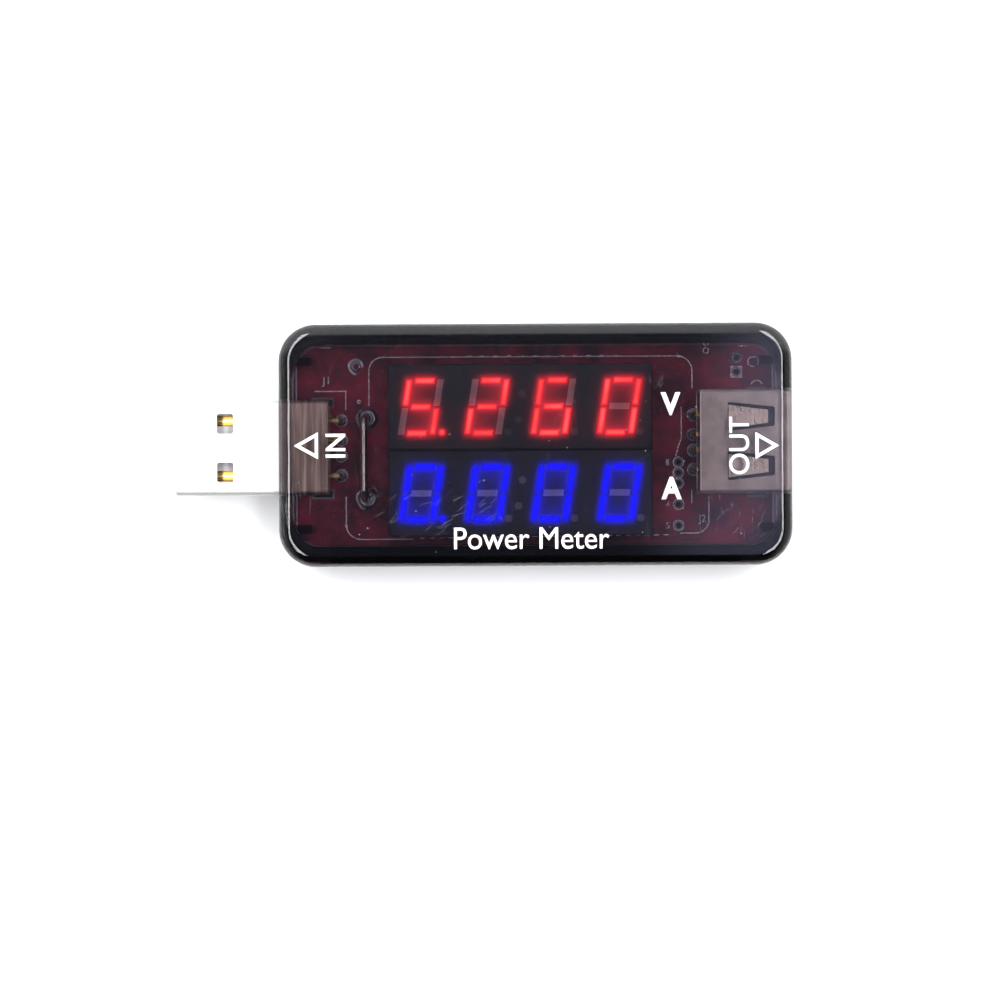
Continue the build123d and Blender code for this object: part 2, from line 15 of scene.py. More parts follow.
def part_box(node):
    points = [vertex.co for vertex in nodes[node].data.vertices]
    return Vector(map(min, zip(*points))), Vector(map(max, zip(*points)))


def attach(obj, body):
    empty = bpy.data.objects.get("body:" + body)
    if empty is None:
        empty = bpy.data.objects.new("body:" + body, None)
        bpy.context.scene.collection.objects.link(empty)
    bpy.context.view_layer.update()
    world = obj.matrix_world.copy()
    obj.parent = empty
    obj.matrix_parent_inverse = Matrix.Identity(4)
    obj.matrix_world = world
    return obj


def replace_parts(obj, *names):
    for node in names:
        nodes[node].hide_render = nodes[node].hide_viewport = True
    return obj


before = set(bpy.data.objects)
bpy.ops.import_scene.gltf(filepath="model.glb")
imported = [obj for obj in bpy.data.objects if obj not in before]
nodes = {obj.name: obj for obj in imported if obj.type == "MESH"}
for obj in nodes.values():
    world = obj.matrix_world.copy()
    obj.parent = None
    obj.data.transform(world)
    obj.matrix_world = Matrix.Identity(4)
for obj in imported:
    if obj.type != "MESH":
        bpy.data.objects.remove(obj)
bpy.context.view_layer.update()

MM = 0.001
ROOT = "meter"
DISPLAYS = ("voltage", "current")
scene = bpy.context.scene

# ---------------------------------------------------------------- places read from the frame
case_low, case_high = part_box("top_cover")
lid_top = case_high.z
board_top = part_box("circuit_board")[1].z
plug_low, plug_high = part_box("plug_shell")
socket_low, socket_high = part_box("socket_shell")
wire_low, wire_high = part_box("shunt_wire")
display_box = {name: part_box(f"{name}_display_housing") for name in DISPLAYS}


# ================================================================ node helpers
class Shader:
    """A material's node tree, with short ways to add and join its nodes."""

    def __init__(self, name):
        self.material = bpy.data.materials.new(name)
        self.material.use_nodes = True
        self.tree = self.material.node_tree
        self.tree.nodes.clear()
        self.output = self.tree.nodes.new("ShaderNodeOutputMaterial")
        self.place = self.node("ShaderNodeTexCoord").outputs["Object"]

    def node(self, kind, **settings):
        made = self.tree.nodes.new(kind)
        for key, value in settings.items():
            setattr(made, key, value)
        return made

    def join(self, source, target):
        """Feeds an input from a socket, or sets it to a plain value."""
        if isinstance(source, bpy.types.NodeSocket):
            self.tree.links.new(source, target)
        else:
            target.default_value = source

    def principled(self, **inputs):
        made = self.node("ShaderNodeBsdfPrincipled")
        for key, value in inputs.items():
            self.join(value, made.inputs[key.replace("_", " ")])
        self.join(made.outputs[0], self.output.inputs["Surface"])
        return made

    def math(self, operation, first, second=0.0):
        made = self.node("ShaderNodeMath", operation=operation)
        self.join(first, made.inputs[0])
        self.join(second, made.inputs[1])
        return made.outputs[0]

    def stretched(self, x, y, z, turn=0.0):
        """Object coordinates multiplied by a scale per axis, after a turn about Z."""
        made = self.node("ShaderNodeMapping", vector_type="TEXTURE")
        self.join(self.place, made.inputs["Vector"])
        made.inputs["Rotation"].default_value = (0, 0, turn)
        made.inputs["Scale"].default_value = (1 / x, 1 / y, 1 / z)
        return made.outputs[0]

    def noise(self, size, detail=3.0, roughness=0.5, vector=None):
        """Noise from 0 to 1 whose blobs are about size metres across."""
        made = self.node("ShaderNodeTexNoise")
        self.join(vector or self.place, made.inputs["Vector"])
        made.inputs["Scale"].default_value = 1 / size
        made.inputs["Detail"].default_value = detail
        made.inputs["Roughness"].default_value = roughness
        return made.outputs["Fac"]

    def ramp(self, value, low, high, start=0.0, end=1.0):
        """A smooth step of value from low..high to start..end."""
        made = self.node("ShaderNodeMapRange", interpolation_type="SMOOTHSTEP")
        for socket, number in zip(made.inputs[1:5], (low, high, start, end)):
            socket.default_value = number
        self.join(value, made.inputs[0])
        return made.outputs[0]

    def mix(self, share, first, second):
        made = self.node("ShaderNodeMix", data_type="RGBA")
        self.join(share, made.inputs["Factor"])
        self.join(first, made.inputs[6])
        self.join(second, made.inputs[7])
        return made.outputs[2]

    def attribute(self, name):
        return self.node("ShaderNodeAttribute", attribute_name=name).outputs["Fac"]

    def bump(self, height, distance, strength=1.0):
        made = self.node("ShaderNodeBump")
        self.join(height, made.inputs["Height"])
        made.inputs["Distance"].default_value = distance
        made.inputs["Strength"].default_value = strength
        return made.outputs[0]


def rgb(red, green, blue):
    return (red, green, blue, 1.0)


# ================================================================ materials
SURFACE_TINT = rgb(0.47, 0.44, 0.475)
ABSORB_COLOUR = rgb(0.0, 0.0, 0.05)
ABSORB_DENSITY = 260.0
LAMP_TINT = rgb(0.64, 0.62, 0.64)
OUTER_CONTACT, INNER_CONTACT = 3.5 * MM, 1.0 * MM
SCRATCH_TURNS = (0.6, 1.7)


def scratches(s, turn):
    """Hairlines that run one way, in patches: 1 in a scratch, 0 elsewhere."""
    lines = s.noise(1.0, 2, 0.5, vector=s.stretched(110, 11000, 110, turn))
    patches = s.ramp(s.noise(9 * MM, 2, vector=s.stretched(1, 1, 1, turn)), 0.52, 0.66)
    return s.math("MULTIPLY", s.ramp(lines, 0.665, 0.72), patches)


def smoke_plastic():
    """Polished smoke-clear plastic, hazed by handling and hairline scratches: darker where it is thicker."""
    s = Shader("smoke_plastic")
    smudges = s.noise(7 * MM, 5, 0.65)
    rough = s.ramp(smudges, 0.38, 0.72, 0.008, 0.05)
    marks = s.math("MAXIMUM", scratches(s, SCRATCH_TURNS[0]), scratches(s, SCRATCH_TURNS[1]))
    ripple = s.noise(12 * MM, 2)
    glass = s.principled(
        Base_Color=SURFACE_TINT,
        Roughness=s.math("MAXIMUM", rough, s.math("MULTIPLY", marks, 0.22)),
        IOR=1.49,
        Transmission_Weight=1.0,
        Normal=s.bump(ripple, 0.02 * MM, 0.3),
    )
    lamp = s.node("ShaderNodeBsdfTransparent")
    lamp.inputs["Color"].default_value = LAMP_TINT
    chooser = s.node("ShaderNodeMixShader")
    s.join(s.node("ShaderNodeLightPath").outputs["Is Shadow Ray"], chooser.inputs[0])
    s.join(glass.outputs[0], chooser.inputs[1])
    s.join(lamp.outputs[0], chooser.inputs[2])
    s.join(chooser.outputs[0], s.output.inputs["Surface"])
    inside = s.node("ShaderNodeVolumeAbsorption")
    inside.inputs["Color"].default_value = ABSORB_COLOUR
    inside.inputs["Density"].default_value = ABSORB_DENSITY
    s.join(inside.outputs[0], s.output.inputs["Volume"])
    return s.material


def solder_mask():
    """Red lacquer over copper and glass fibre: blotchy, slightly glossy, with the weave just showing."""
    s = Shader("red_solder_mask")
    blotch = s.ramp(s.noise(5 * MM, 5, 0.6), 0.35, 0.68)
    colour = s.mix(blotch, rgb(0.07, 0.001, 0.012), rgb(0.30, 0.006, 0.036))
    speck = s.ramp(s.noise(0.5 * MM, 2), 0.66, 0.74)
    colour = s.mix(s.math("MULTIPLY", speck, 0.35), colour, rgb(0.42, 0.16, 0.18))
    weave_x = s.noise(1.0, 1, vector=s.stretched(2600, 500, 1))
    weave_y = s.noise(1.0, 1, vector=s.stretched(500, 2600, 1))
    weave = s.math("ADD", weave_x, weave_y)
    rough = s.ramp(s.noise(3 * MM), 0.3, 0.7, 0.28, 0.45)
    s.principled(
        Base_Color=colour,
        Roughness=rough,
        Specular_IOR_Level=0.2,
        Normal=s.bump(weave, 0.02 * MM, 0.5),
    )
    return s.material


def metal(name, colour, roughness, grain=(900, 900), grain_depth=0.006, shade=0.12):
    """Plated or rolled metal: a fine grain, soft cloudiness and uneven gloss."""
    s = Shader(name)
    cloud = s.noise(2.2 * MM, 4, 0.6)
    dark = rgb(*(c * (1 - 2 * shade) for c in colour))
    tone = s.mix(s.ramp(cloud, 0.3, 0.7), dark, rgb(*colour))
    lines = s.noise(1.0, 3, 0.7, vector=s.stretched(grain[0], grain[1], 900))
    cloudy = s.ramp(cloud, 0.3, 0.7, roughness, roughness + 0.08)
    rough = s.math("ADD", s.ramp(lines, 0.2, 0.8, -0.06, 0.08), cloudy)
    s.principled(Base_Color=tone, Metallic=1.0, Roughness=rough, Normal=s.bump(lines, grain_depth * MM))
    return s.material


def plug_plating():
    """Bright nickel with a fine grain; inside the case its colour is darker and browner, a painted shade
    standing in for the smoke lid's shadow.
    """
    s = Shader("bright_nickel")
    fine = s.noise(0.16 * MM, 3, 0.7)
    bright = s.mix(s.ramp(fine, 0.30, 0.70), rgb(0.52, 0.52, 0.50), rgb(0.66, 0.66, 0.64))
    streaks = s.ramp(s.noise(1.0, 3, 0.6, vector=s.stretched(1500, 60, 60)), 0.30, 0.70)
    # painted shade: the darker, browner colour the shell is given inside the case
    painted_shade_inside_case = s.mix(streaks, rgb(0.22, 0.16, 0.12), rgb(0.60, 0.47, 0.38))
    split = s.node("ShaderNodeSeparateXYZ")
    s.join(s.place, split.inputs[0])
    # painted shade mask: 1 where the shell runs inside the case, under the lid
    inside = s.ramp(split.outputs["X"], case_low.x, case_low.x + 1.2 * MM)
    rough = s.math("ADD", s.ramp(fine, 0.2, 0.8, 0.62, 0.70), s.math("MULTIPLY", inside, -0.15))
    s.principled(
        Base_Color=s.mix(inside, bright, painted_shade_inside_case),
        Metallic=1.0,
        Roughness=rough,
        Normal=s.bump(fine, 0.008 * MM),
    )
    return s.material


def socket_steel():
    """Dull rolled steel, with painted highlights: paler along the cut edge at the back and along the bends of
    its sides.
    """
    s = Shader("socket_steel")
    cloud = s.noise(2.5 * MM, 4, 0.6)
    lines = s.noise(1.0, 3, 0.7, vector=s.stretched(700, 1800, 900))
    face = s.mix(s.ramp(cloud, 0.3, 0.7), rgb(0.33, 0.29, 0.245), rgb(0.48, 0.42, 0.36))
    split = s.node("ShaderNodeSeparateXYZ")
    s.join(s.place, split.inputs[0])
    # painted highlight: paler colour along the back edge and the bends, where the sheet's edges catch the light
    cut = s.ramp(split.outputs["X"], socket_low.x + 0.08 * MM, socket_low.x + 0.2 * MM, 1.0, 0.0)
    aside = s.math("ABSOLUTE", s.math("SUBTRACT", split.outputs["Y"], (socket_low.y + socket_high.y) / 2))
    half = (socket_high.y - socket_low.y) / 2
    bend = s.ramp(aside, half - 0.34 * MM, half - 0.2 * MM)
    edge = s.math("MULTIPLY", s.math("MAXIMUM", cut, bend), s.ramp(cloud, 0.3, 0.6, 0.45, 0.9))
    rough = s.ramp(lines, 0.2, 0.8, 0.38, 0.5)
    s.principled(
        Base_Color=s.mix(edge, face, rgb(0.86, 0.74, 0.62)),
        Metallic=1.0,
        Roughness=rough,
        Normal=s.bump(lines, 0.006 * MM),
    )
    return s.material


def contact_gold():
    """Gold-plated strips with rolled edges, their light painted: a pale painted highlight along the middle of
    each, painted shade browner towards its sides.
    """
    s = Shader("contact_gold")
    split = s.node("ShaderNodeSeparateXYZ")
    s.join(s.place, split.inputs[0])
    aside = s.math("ABSOLUTE", s.math("SUBTRACT", split.outputs["Y"], (plug_low.y + plug_high.y) / 2))
    outer = s.math("ABSOLUTE", s.math("SUBTRACT", aside, OUTER_CONTACT))
    inner = s.math("ABSOLUTE", s.math("SUBTRACT", aside, INNER_CONTACT))
    across = s.math("MINIMUM", outer, inner)
    # painted highlight along the middle of each strip, then painted shade: browner at its sides, dark brown
    # beyond them
    tone = s.mix(s.ramp(across, 0.04 * MM, 0.20 * MM), rgb(0.62, 0.52, 0.30), rgb(0.40, 0.25, 0.055))
    tone = s.mix(s.ramp(across, 0.34 * MM, 0.62 * MM), tone, rgb(0.13, 0.065, 0.015))
    lines = s.noise(1.0, 3, 0.7, vector=s.stretched(200, 9000, 900))
    rough = s.ramp(lines, 0.2, 0.8, 0.22, 0.36)
    s.principled(Base_Color=tone, Metallic=1.0, Roughness=rough, Normal=s.bump(lines, 0.004 * MM))
    return s.material


def moulded(name, colour, roughness, light=1.25, grain=0.25):
    """Moulded plastic or ceramic: a slight unevenness of colour, gloss and surface."""
    s = Shader(name)
    cloud = s.noise(3 * MM, 4)
    fine = s.noise(grain * MM, 3, 0.6)
    paler = rgb(*(min(c * light + 0.004, 1) for c in colour))
    tone = s.mix(s.ramp(cloud, 0.3, 0.7), rgb(*colour), paler)
    rough = s.ramp(fine, 0.25, 0.75, roughness, roughness + 0.12)
    s.principled(Base_Color=tone, Roughness=rough, Normal=s.bump(fine, 0.01 * MM, 0.6))
    return s.material


def display_face(name, glow_colour):
    """Black ink on a display, lit from beside by the light that leaks round the glowing segments."""
    s = Shader(name)
    dust = s.ramp(s.noise(0.35 * MM, 2), 0.70, 0.76)
    colour = s.mix(s.math("MULTIPLY", dust, 0.25), rgb(0.016, 0.017, 0.024), rgb(0.12, 0.12, 0.15))
    rough = s.ramp(s.noise(2 * MM), 0.3, 0.7, 0.42, 0.56)
    s.principled(
        Base_Color=colour,
        Roughness=rough,
        Specular_IOR_Level=0.25,
        Normal=s.bump(s.noise(0.15 * MM), 0.008 * MM),
        Emission_Color=glow_colour,
        Emission_Strength=s.attribute("glow"),
    )
    return s.material


def glowing_segment(name, core, rim, strength):
    """A lit light pipe: brighter along its middle, deeper in colour at its rim, no two quite alike."""
    s = Shader(name)
    middle = s.ramp(s.attribute("core"), 0.0, 1.0)
    uneven = s.ramp(s.noise(4.5 * MM, 1), 0.3, 0.7, 0.75, 1.2)
    colour = s.mix(s.math("MULTIPLY", middle, uneven), rim, core)
    along_middle = s.ramp(s.attribute("core"), -0.1, 0.9, 0.38, 1.0)
    s.principled(
        Base_Color=rim,
        Roughness=0.45,
        Specular_IOR_Level=0.2,
        Emission_Color=colour,
        Emission_Strength=s.math("MULTIPLY", along_middle, s.math("MULTIPLY", uneven, strength)),
    )
    return s.material


UNLIT_DOT = rgb(0.014, 0.015, 0.022)


def unlit_segment(name, tone, glow_colour):
    """A milky light pipe that isn't lit, tinted by its neighbours' light. Points and colons are darker."""
    s = Shader(name)
    colour = s.mix(s.ramp(s.noise(1.2 * MM), 0.3, 0.7), tone, rgb(*(c * 1.3 for c in tone[:3])))
    s.principled(
        Base_Color=s.mix(s.attribute("dot"), colour, UNLIT_DOT),
        Roughness=0.4,
        Emission_Color=glow_colour,
        Emission_Strength=s.math("MULTIPLY", s.attribute("glow"), 1.6),
    )
    return s.material


def ink(name, colour, cover, worn_share=0.55):
    """Ink that is a little thin and patchy: cover is how much is whole, worn_share how bright the rest is."""
    s = Shader(name)
    patchy = s.ramp(s.noise(0.22 * MM, 3, 0.7), 0.75 - cover * 0.5, 0.95 - cover * 0.5)
    worn = rgb(*(c * worn_share for c in colour[:3]))
    s.principled(Base_Color=s.mix(patchy, worn, colour), Roughness=s.ramp(patchy, 0, 1, 0.4, 0.6))
    return s.material


def scuff():
    """A hairline's whitened bottom, faint enough to see through."""
    s = Shader("scuffed_plastic")
    tone = s.mix(s.ramp(s.noise(0.6 * MM), 0.3, 0.7), rgb(0.30, 0.30, 0.36), rgb(0.75, 0.75, 0.85))
    s.principled(Base_Color=tone, Roughness=0.5, Alpha=0.2)
    return s.material


def floor_paper():
    """Plain pale paper."""
    s = Shader("pale_floor")
    tone = s.mix(s.noise(40 * MM, 2), rgb(0.93, 0.93, 0.93), rgb(0.95, 0.95, 0.95))
    s.principled(Base_Color=tone, Roughness=0.9)
    return s.material


RED_GLOW, BLUE_GLOW = rgb(1.0, 0.02, 0.04), rgb(0.01, 0.01, 1.0)
GLOW = {"voltage": RED_GLOW, "current": BLUE_GLOW}
smoke = smoke_plastic()
board_red = solder_mask()
nickel = plug_plating()
steel = socket_steel()
# painted highlight: the springs are lighter and warmer than the socket's steel, for the light on the sprung
# fingers
spring_steel_painted_highlight = metal("spring_steel_painted_highlight", (0.70, 0.60, 0.48), 0.26, grain=(1800, 700), shade=0.06)
plug_gold = contact_gold()
gold = metal("gold_plate", (0.62, 0.42, 0.13), 0.2, shade=0.08)
tin = metal("tinned_metal", (0.72, 0.72, 0.71), 0.30)
solder = metal("solder", (0.50, 0.51, 0.53), 0.26, shade=0.2, grain_depth=0.02)
pad_solder = metal("pad_solder", (0.20, 0.20, 0.21), 0.42, shade=0.2, grain_depth=0.02)
shunt_metal = metal("shunt_wire_metal", (0.74, 0.62, 0.52), 0.13, grain=(300, 300), shade=0.04)
white_plastic = moulded("white_plastic", (0.50, 0.48, 0.49), 0.5, light=1.1)
black_plastic = moulded("black_plastic", (0.018, 0.018, 0.019), 0.42)
chip_plastic = moulded("chip_plastic", (0.022, 0.022, 0.024), 0.5, grain=0.12)
resistor_black = moulded("resistor_glaze", (0.016, 0.016, 0.018), 0.25)
ceramic = moulded("capacitor_ceramic", (0.42, 0.29, 0.17), 0.5)
led_board_white = moulded("led_board_white", (0.66, 0.65, 0.60), 0.5)
led_die = moulded("led_die", (0.62, 0.55, 0.30), 0.2)
white_ink = ink("white_ink", rgb(0.93, 0.93, 0.93), 1.3)
board_ink = ink("board_ink", rgb(0.98, 0.92, 0.92), 0.72, 0.25)
scuffed = scuff()
dust_white = ink("dust", rgb(0.85, 0.85, 0.88), 0.9)
# a pale ink for the painted highlight along the board's edge
edge_highlight_ink = ink("board_edge_highlight", rgb(0.80, 0.70, 0.66), 0.75, 0.45)


def cover_node(name, material):
    """Gives a CAD node that keeps its shape its one finished material."""
    slots = nodes[name].data.materials
    slots.clear()
    slots.append(material)


NODE_MATERIALS = {
    smoke: ("bottom_cover", "top_cover"),
    board_red: ("circuit_board",),
    nickel: ("plug_shell",),
    steel: ("socket_shell",),
    spring_steel_painted_highlight: [n for n in nodes if "_spring_" in n],
    plug_gold: ("plug_contacts",),
    gold: ("socket_pins", *(n for n in nodes if n.startswith("socket_contact_"))),
    white_plastic: ("plug_insulator",),
    black_plastic: ("socket_insulator",),
    tin: [n for n in nodes if n.endswith(("_leads", "_terminals", "_display_pins"))],
    solder: [n for n in nodes if n.endswith("solder_joints")],
    shunt_metal: ("shunt_wire",),
    chip_plastic: ("microcontroller", "current_amplifier", "voltage_regulator", "protection_diode"),
    resistor_black: ("chip_resistors",),
    ceramic: ("chip_capacitors",),
    led_board_white: [f"{d}_led_board" for d in DISPLAYS],
    led_die: [f"{d}_led_dies" for d in DISPLAYS],
}
for material, members in NODE_MATERIALS.items():
    for member in members:
        cover_node(member, material)


# ================================================================ mesh helpers
def add_piece(name, mesh, material, body=ROOT):
    """Puts a finished mesh in the scene, riding on a body."""
    mesh.materials.clear()
    mesh.materials.append(material)
    piece = bpy.data.objects.new(name, mesh)
    scene.collection.objects.link(piece)
    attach(piece, body)
    return piece


def mesh_from(bm, name):
    mesh = bpy.data.meshes.new(name)
    bm.to_mesh(mesh)
    bm.free()
    return mesh


def finish_piece(bm, name, material, smooth=False):
    """Turns a drawn mesh into a piece, with its faces pointing out."""
    bmesh.ops.recalc_face_normals(bm, faces=bm.faces)
    for face in bm.faces:
        face.smooth = smooth
    return add_piece(name, mesh_from(bm, name), material)


def raise_plate(bm, outline, hole, low, high):
    """Adds a flat closed plate between two heights: an outline, and a hole with as many points or None."""
    rings = [outline] if hole is None else [outline, hole]
    levels = [[[bm.verts.new((x, y, z)) for x, y in ring] for ring in rings] for z in (low, high)]
    count = len(outline)
    for i in range(count):
        j = (i + 1) % count
        bottom, top = levels
        bm.faces.new((bottom[0][i], bottom[0][j], top[0][j], top[0][i]))
        if hole is not None:
            bm.faces.new((bottom[1][j], bottom[1][i], top[1][i], top[1][j]))
            bm.faces.new((top[0][i], top[0][j], top[1][j], top[1][i]))
            bm.faces.new((bottom[0][j], bottom[0][i], bottom[1][i], bottom[1][j]))
    if hole is None:
        bm.faces.new(levels[1][0])
        bm.faces.new(levels[0][0][::-1])


def circle(x, y, radius, count=28):
    """Points round a circle."""
    turns = [math.tau * i / count for i in range(count)]
    return [(x + radius * math.cos(turn), y + radius * math.sin(turn)) for turn in turns]


def stroke_outline(points, width):
    """The outline of a line of a given width that follows points, with mitred corners."""
    sides = ([], [])
    for i, here in enumerate(points):
        before = points[max(i - 1, 0)]
        after = points[min(i + 1, len(points) - 1)]
        out = (Vector(after) - Vector(here)).normalized()
        into = (Vector(here) - Vector(before)).normalized() if i else out
        out = out if i < len(points) - 1 else into
        along = (into + out).normalized()
        reach = width / 2 / max(along.dot(into), 0.3)
        across = Vector((-along.y, along.x)) * reach
        sides[0].append(tuple(Vector(here) - across))
        sides[1].append(tuple(Vector(here) + across))
    return sides[0] + sides[1][::-1]


def raise_line(bm, points, width, low, high):
    """Adds a line of a given width between two heights, as one plate for each of its runs."""
    line = stroke_outline(points, width)
    for i in range(len(points) - 1):
        raise_plate(bm, [line[i], line[i + 1], line[-2 - i], line[-1 - i]], None, low, high)


def arc(x, y, radius, start, stop, count=8):
    """Points along an arc, by angles in degrees."""
    turns = [math.radians(start + (stop - start) * i / count) for i in range(count + 1)]
    return [(x + radius * math.cos(t), y + radius * math.sin(t)) for t in turns]


# ================================================================ displays
CELL, FINE_CELL = 0.32 * MM, 0.16 * MM


def top_outline(node):
    """The outline, seen from above, of a node's highest faces, as edges in the plane."""
    mesh = nodes[node].data
    top = max(v.co.z for v in mesh.vertices)
    seen = {}
    for face in mesh.polygons:
        corners = [mesh.vertices[i].co for i in face.vertices]
        if all(abs(c.z - top) < 0.001 * MM for c in corners):
            ring = [(round(c.x, 7), round(c.y, 7)) for c in corners]
            for edge in zip(ring, ring[1:] + ring[:1]):
                key = tuple(sorted(edge))
                seen[key] = seen.get(key, 0) + 1
    return np.array([edge for edge, times in seen.items() if times == 1])


def distance_to(points, edges):
    """How far each point of the plane is from the nearest edge."""
    start, run = edges[:, 0], edges[:, 1] - edges[:, 0]
    offset = points[:, None, :] - start
    share = np.clip((offset * run).sum(2) / np.maximum((run * run).sum(1), 1e-18), 0, 1)
    return np.linalg.norm(offset - share[:, :, None] * run, axis=2).min(1)


def diced_copy(node, cell=CELL):
    """A copy of a node's mesh, cut along a fine grid so that it can carry a smooth attribute."""
    bm = bmesh.new()
    bm.from_mesh(nodes[node].data)
    bmesh.ops.remove_doubles(bm, verts=bm.verts, dist=0.0005 * MM)
    bmesh.ops.dissolve_limit(bm, angle_limit=0.01, verts=bm.verts, edges=bm.edges)
    low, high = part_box(node)
    for axis in (0, 1):
        normal = [0, 0, 0]
        normal[axis] = 1
        for i in range(1, int((high[axis] - low[axis]) / cell) + 1):
            spot = [0, 0, 0]
            spot[axis] = low[axis] + (i - 0.5) * cell
            everything = bm.verts[:] + bm.edges[:] + bm.faces[:]
            bmesh.ops.bisect_plane(bm, geom=everything, plane_co=spot, plane_no=normal)
    return bm


def lit_spots(display):
    """Centres and areas of small patches of a display's glowing faces."""
    bm = diced_copy(f"{display}_lit_segments")
    patches = [f for f in bm.faces if f.normal.z > 0.99]
    centres = np.array([f.calc_center_median()[:2] for f in patches])
    areas = np.array([f.calc_area() for f in patches])
    bm.free()
    return centres, areas


# how far in from its rim a segment glows in full, then the light that leaks from it: a near and a far haze, kept
# mostly inside each digit's slanted cell
FULL_CORE = 0.38 * MM
HALO_NEAR, HALO_FAR = 0.28 * MM, 1.0 * MM
HALO_NEAR_SHARE, HALO_FAR_SHARE = 2.0, 2.6
DIGIT_PITCH = 8.31 * MM
DIGIT_SLANT = math.tan(math.radians(9))
DIGIT_REACH = 2.15 * MM
DIGIT_RISE = 1.5 * MM
DIGIT_FADE = 0.6 * MM
OUTSIDE_SHARE = 0.16


def in_digit(points, middle):
    """1 inside a digit's slanted cell, where light is trapped between its segments, and less outside."""
    x = points[:, 0] - middle.x - DIGIT_SLANT * (points[:, 1] - middle.y)
    to_digit = np.abs((x / DIGIT_PITCH + 2) % 1 - 0.5) * DIGIT_PITCH
    to_row = np.abs(points[:, 1] - middle.y) - DIGIT_RISE
    outside = np.clip((np.maximum(to_digit, to_row) - DIGIT_REACH) / DIGIT_FADE, 0, 1)
    return 1 - (1 - OUTSIDE_SHARE) * outside


def glow_at(points, spots, middle):
    """Light leaked to each point: a tight halo round each patch, and a wide haze that fills the digit."""
    centres, areas = spots
    square = ((points[:, None, :] - centres) ** 2).sum(2)

    def haze(radius):
        return (np.exp(-square / (2 * radius**2)) * areas).sum(1) / (math.tau * radius**2)

    wide = HALO_FAR_SHARE * haze(HALO_FAR) * in_digit(points, middle)
    return HALO_NEAR_SHARE * haze(HALO_NEAR) + wide


def store(mesh, name, values):
    """Keeps a number per vertex under a name that materials can read."""
    mesh.attributes.new(name, "FLOAT", "POINT").data.foreach_set("value", values.astype(np.float32))


def flat_points(mesh):
    """Where a mesh's vertices are in plan."""
    places = np.zeros(len(mesh.vertices) * 3)
    mesh.vertices.foreach_get("co", places)
    return places.reshape(-1, 3)[:, :2]


DOT_SPAN = 1.7 * MM


def dots_of(mesh):
    """1 on a mesh's small round parts, the points and colons, and 0 on its bars, per vertex."""
    bm = bmesh.new()
    bm.from_mesh(mesh)
    values = np.zeros(len(bm.verts))
    waiting = dict.fromkeys(bm.verts)
    while waiting:
        ahead = [waiting.popitem()[0]]
        island = []
        while ahead:
            here = ahead.pop()
            island.append(here)
            for edge in here.link_edges:
                there = edge.other_vert(here)
                if there in waiting:
                    del waiting[there]
                    ahead.append(there)
        xs, ys = [v.co.x for v in island], [v.co.y for v in island]
        if max(max(xs) - min(xs), max(ys) - min(ys)) < DOT_SPAN:
            for v in island:
                values[v.index] = 1
    bm.free()
    return values


# each display's segment core and rim colours, brightness, unlit tone, and how dark its unlit dots are
LOOKS = {
    "voltage": (rgb(1.0, 0.09, 0.085), rgb(1.0, 0.015, 0.02), 3.7, rgb(0.14, 0.13, 0.13), 0.92),
    "current": (rgb(0.0, 0.0, 1.0), rgb(0.0, 0.0, 1.0), 3.3, rgb(0.14, 0.14, 0.17), 0.6),
}
for display in DISPLAYS:
    core, rim, strength, unlit, dimness = LOOKS[display]
    spots = lit_spots(display)
    middle = (display_box[display][0] + display_box[display][1]) / 2
    for part, material, slot in (
        ("display_housing", display_face(f"{display}_display_ink", GLOW[display]), "display_black"),
        ("dark_segments", unlit_segment(f"{display}_unlit", unlit, GLOW[display]), "dark_diffuser"),
    ):
        mesh = mesh_from(diced_copy(f"{display}_{part}"), f"{display}_{part}_lit_up")
        store(mesh, "glow", glow_at(flat_points(mesh), spots, middle))
        store(mesh, "dot", dots_of(mesh) * dimness)
        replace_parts(add_piece(f"{display}_{part}_finished", mesh, material), f"{display}_{part}")
    lit = f"{display}_lit_segments"
    mesh = mesh_from(diced_copy(lit, FINE_CELL), f"{lit}_mesh")
    inner = distance_to(flat_points(mesh), top_outline(lit))
    store(mesh, "core", np.clip(inner / FULL_CORE, 0, 1))
    glowing = glowing_segment(f"{display}_glowing", core, rim, strength)
    slot = "red_glow" if display == "voltage" else "blue_glow"
    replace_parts(add_piece(f"{lit}_finished", mesh, glowing), lit)

# ================================================================ pads, solder and print on the board
# the grey pad round each hole, the printed ring round a pad, and the printed lines
PAD_THICKNESS = 0.035 * MM
PAD_WIDTH = 0.26 * MM
PAD_RING = 0.08 * MM
PIN_HOLE_SPAN = 1.3 * MM
# the width and height of the pale band painted along the board's edge as a highlight
EDGE_HIGHLIGHT_WIDTH, EDGE_HIGHLIGHT_HEIGHT = 0.17 * MM, 0.01 * MM
SILK_WIDTH = 0.14 * MM
pad_low = board_top - 0.002 * MM
pad_high = board_top + PAD_THICKNESS


def rim_loops(node):
    """The rims of a node's top faces, each a list of points in order; the outer rim has the largest box."""
    links = {}
    for start, end in (map(tuple, edge) for edge in top_outline(node)):
        links.setdefault(start, []).append(end)
        links.setdefault(end, []).append(start)
    loops = []
    while links:
        here = next(iter(links))
        loop = []
        while here in links:
            loop.append(here)
            ahead = links.pop(here)
            here = next((point for point in ahead if point in links), None)
        loops.append(loop)
    return loops


def middle_of(loop):
    """The middle of a loop's box."""
    xs, ys = zip(*loop)
    return Vector(((min(xs) + max(xs)) / 2, (min(ys) + max(ys)) / 2))


